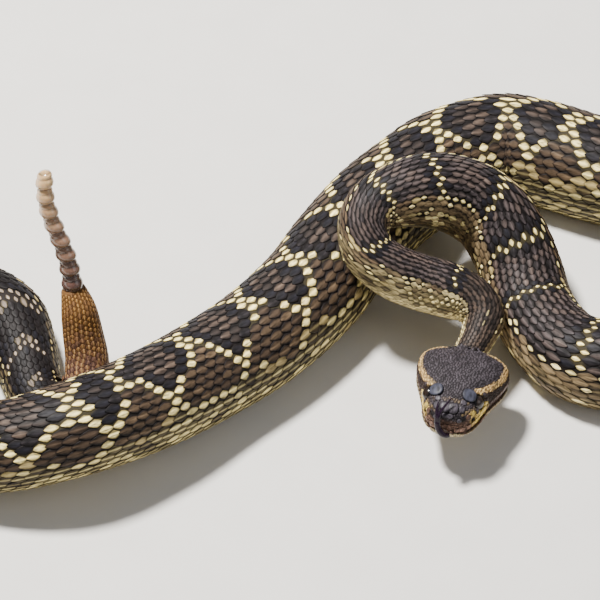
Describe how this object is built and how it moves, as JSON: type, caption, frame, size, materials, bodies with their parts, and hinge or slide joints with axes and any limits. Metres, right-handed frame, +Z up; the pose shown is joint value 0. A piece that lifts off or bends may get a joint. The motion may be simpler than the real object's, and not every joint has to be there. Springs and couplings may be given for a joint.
{
  "type": "southern pacific rattlesnake",
  "caption": "Life-size still model of a dark rattlesnake in a loose S, fore part coiled over its own body, head low, tongue out and rattle raised",
  "frame": {"origin": "middle of the model's box, on the floor that its belly lies on", "axes": "+Z up, the head faces -Y, the tail and rattle are at -X, and the body's loops spread along X"},
  "size_m": [0.3899, 0.2134, 0.0981],
  "materials": {
    "skin": "satin keeled scales, dark with cream marks",
    "tail_skin": "satin small scales, orange brown",
    "head_plates": "satin fine scales",
    "eyes": "wet gloss",
    "tongue": "moist gloss",
    "rattle_horn": "polished horn"
  },
  "bodies": {
    "root": {"head": "head_plates", "eye_left": "eyes", "eye_right": "eyes", "tongue": "tongue", "neck": "skin", "throat_bend": "skin", "fore_coil_near": "skin", "fore_coil_top": "skin", "fore_arm": "skin", "fore_sweep": "skin", "right_loop_near": "skin", "right_loop_far": "skin", "shoulder": "skin", "far_bend": "skin", "mid_body_far": "skin", "mid_body": "skin", "mid_body_near": "skin", "rear_body": "skin", "left_loop_near": "skin", "left_loop_far": "skin", "rear_sweep": "skin", "tail_turn": "skin", "tail": "tail_skin", "rattle": "rattle_horn"}
  },
  "joints": []
}
